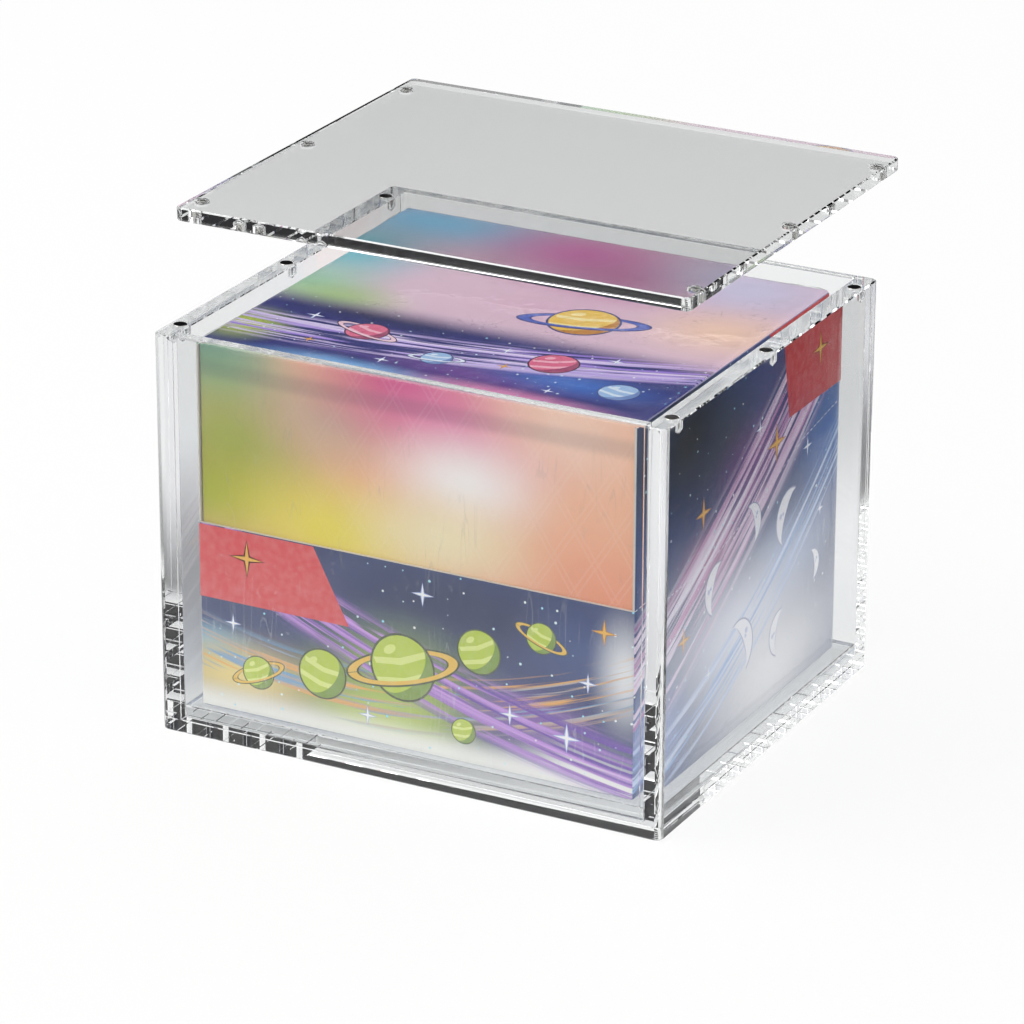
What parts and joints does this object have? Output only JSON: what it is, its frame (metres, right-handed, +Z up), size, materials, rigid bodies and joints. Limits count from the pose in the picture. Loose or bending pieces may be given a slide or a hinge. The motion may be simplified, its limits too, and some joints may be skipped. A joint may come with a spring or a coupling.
{
  "type": "trading card display case",
  "caption": "Clear acrylic box with a lift-off magnetic lid, holding a sealed printed carton of trading cards.",
  "frame": {"origin": "middle of the flat underside of the base panel, which the case stands on", "axes": "+Z up, +X to the right, -Y out of the front wall; the lid is shown held above the rim and a little behind it"},
  "size_m": [0.198, 0.186, 0.191],
  "materials": {
    "acrylic": "clear cast acrylic, polished faces and edges",
    "plated_magnet": "bright nickel plate",
    "printed_carton": "coated board with an abstract colour print",
    "clear_film": "clear shrink film, glossy, lightly creased"
  },
  "bodies": {
    "case": {"base_panel": "acrylic", "floor_panel": "acrylic", "front_wall": "acrylic", "back_wall": "acrylic", "left_wall": "acrylic", "right_wall": "acrylic", "rim_magnet_left_front": "plated_magnet", "rim_magnet_left_middle": "plated_magnet", "rim_magnet_left_back": "plated_magnet", "rim_magnet_right_front": "plated_magnet", "rim_magnet_right_middle": "plated_magnet", "rim_magnet_right_back": "plated_magnet"},
    "card_box": {"display_carton": "printed_carton", "carton_lid": "printed_carton", "shrink_wrap": "clear_film"},
    "lid": {"lid_panel": "acrylic", "lid_magnet_left_front": "plated_magnet", "lid_magnet_left_middle": "plated_magnet", "lid_magnet_left_back": "plated_magnet", "lid_magnet_right_front": "plated_magnet", "lid_magnet_right_middle": "plated_magnet", "lid_magnet_right_back": "plated_magnet"}
  },
  "joints": [
    {"name": "card_box_lift", "type": "slide", "parent": "case", "child": "card_box", "axis": [0, 0, 1], "range_m": [0, 0.15]},
    {"name": "lid_lift", "type": "slide", "parent": "card_box", "child": "lid", "axis": [0, 0.4061, 0.9138], "range_m": [-0.03939, 0.12]}
  ]
}
